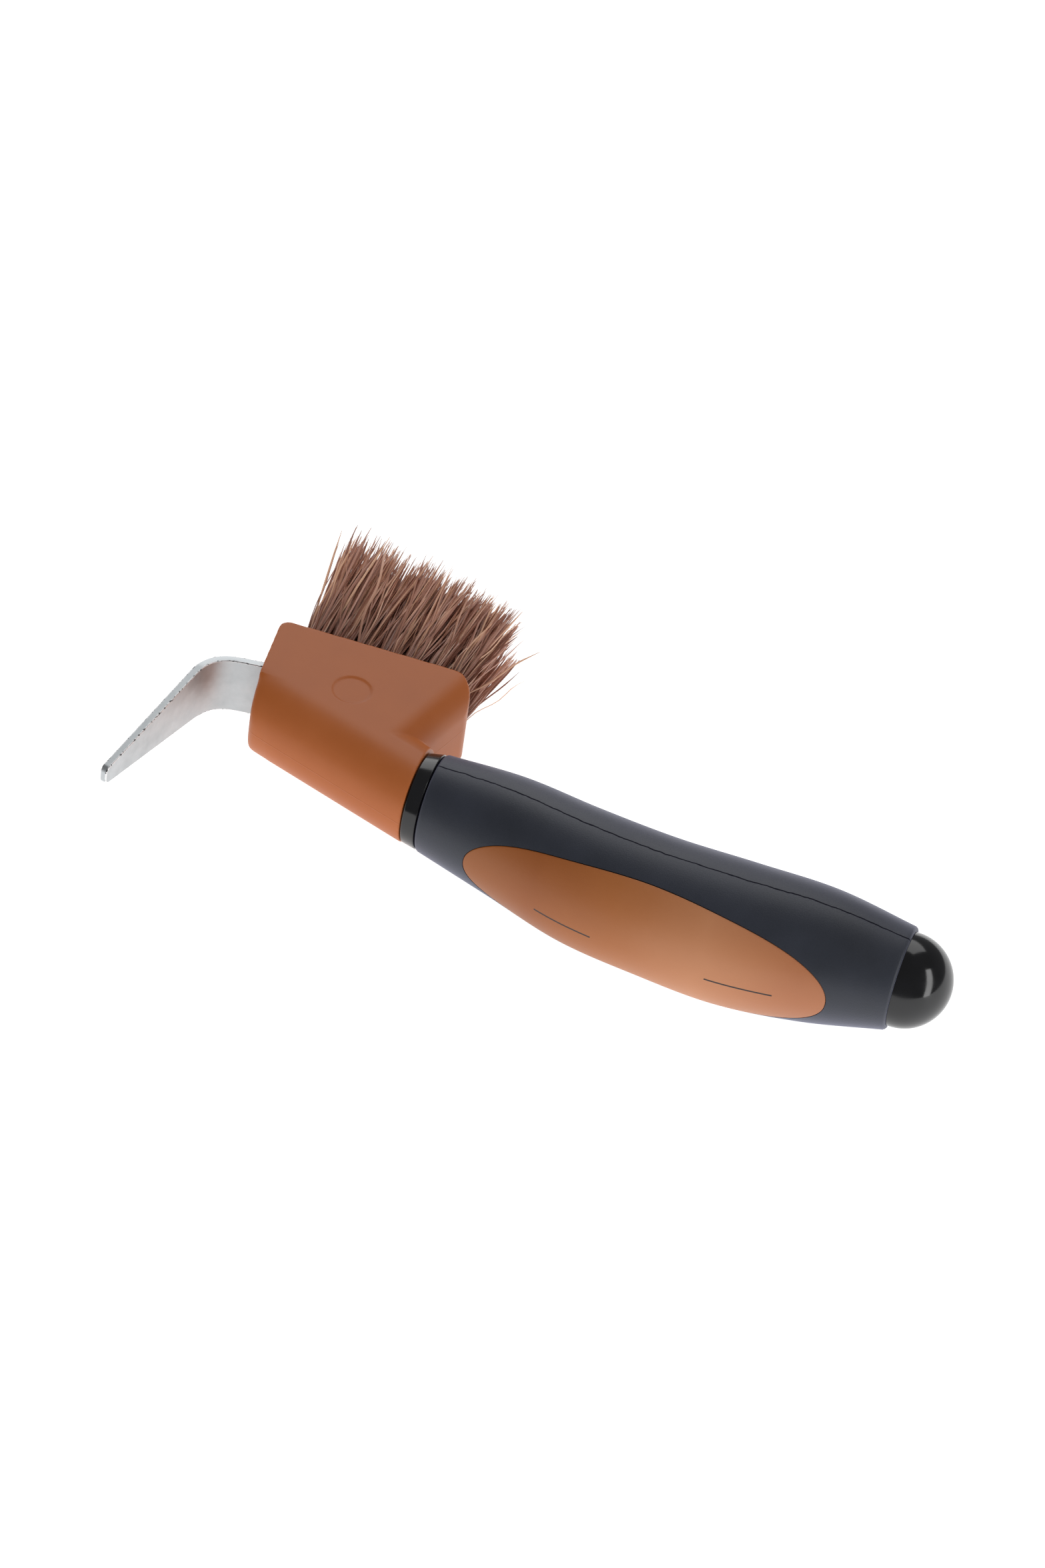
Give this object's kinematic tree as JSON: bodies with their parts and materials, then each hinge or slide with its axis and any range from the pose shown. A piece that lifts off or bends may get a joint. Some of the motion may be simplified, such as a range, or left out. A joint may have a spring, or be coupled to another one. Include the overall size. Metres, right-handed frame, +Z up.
{
  "type": "hoof pick",
  "caption": "Handheld hoof pick: bent flat steel hook and stiff bristle brush in a plastic head, on a bowed handle with a soft grip, belly inlay and domed end.",
  "frame": {"origin": "bottom centre of the bounding box, with the tool lying on its side", "axes": "+X from the hook to the domed end of the handle, +Y towards the bristles, +Z up across the tool"},
  "size_m": [0.2092, 0.0992, 0.035],
  "materials": {
    "steel": "bright stamped flat steel, satin faces, torn edges",
    "brown_plastic": "warm brown injection moulded plastic, low sheen",
    "gloss_black": "polished black moulded plastic",
    "soft_black": "blue-black soft-touch thermoplastic rubber, matt",
    "brown_inlay": "warm brown moulded plastic, fine matt texture",
    "bristle": "brown extruded filament",
    "staple_wire": "flat galvanised wire"
  },
  "bodies": {
    "root": {"hook": "steel", "brush_head": "brown_plastic", "handle_core": "gloss_black", "soft_grip": "soft_black", "belly_inlay": "brown_inlay", "tuft_lower_1": "bristle", "tuft_lower_2": "bristle", "tuft_lower_3": "bristle", "tuft_lower_4": "bristle", "tuft_lower_5": "bristle", "tuft_lower_6": "bristle", "tuft_lower_7": "bristle", "tuft_middle_1": "bristle", "tuft_middle_2": "bristle", "tuft_middle_3": "bristle", "tuft_middle_4": "bristle", "tuft_middle_5": "bristle", "tuft_middle_6": "bristle", "tuft_upper_1": "bristle", "tuft_upper_2": "bristle", "tuft_upper_3": "bristle", "tuft_upper_4": "bristle", "tuft_upper_5": "bristle", "tuft_upper_6": "bristle", "tuft_upper_7": "bristle", "anchor_lower_1": "staple_wire", "anchor_lower_2": "staple_wire", "anchor_lower_3": "staple_wire", "anchor_lower_4": "staple_wire", "anchor_lower_5": "staple_wire", "anchor_lower_6": "staple_wire", "anchor_lower_7": "staple_wire", "anchor_middle_1": "staple_wire", "anchor_middle_2": "staple_wire", "anchor_middle_3": "staple_wire", "anchor_middle_4": "staple_wire", "anchor_middle_5": "staple_wire", "anchor_middle_6": "staple_wire", "anchor_upper_1": "staple_wire", "anchor_upper_2": "staple_wire", "anchor_upper_3": "staple_wire", "anchor_upper_4": "staple_wire", "anchor_upper_5": "staple_wire", "anchor_upper_6": "staple_wire", "anchor_upper_7": "staple_wire"}
  },
  "joints": []
}
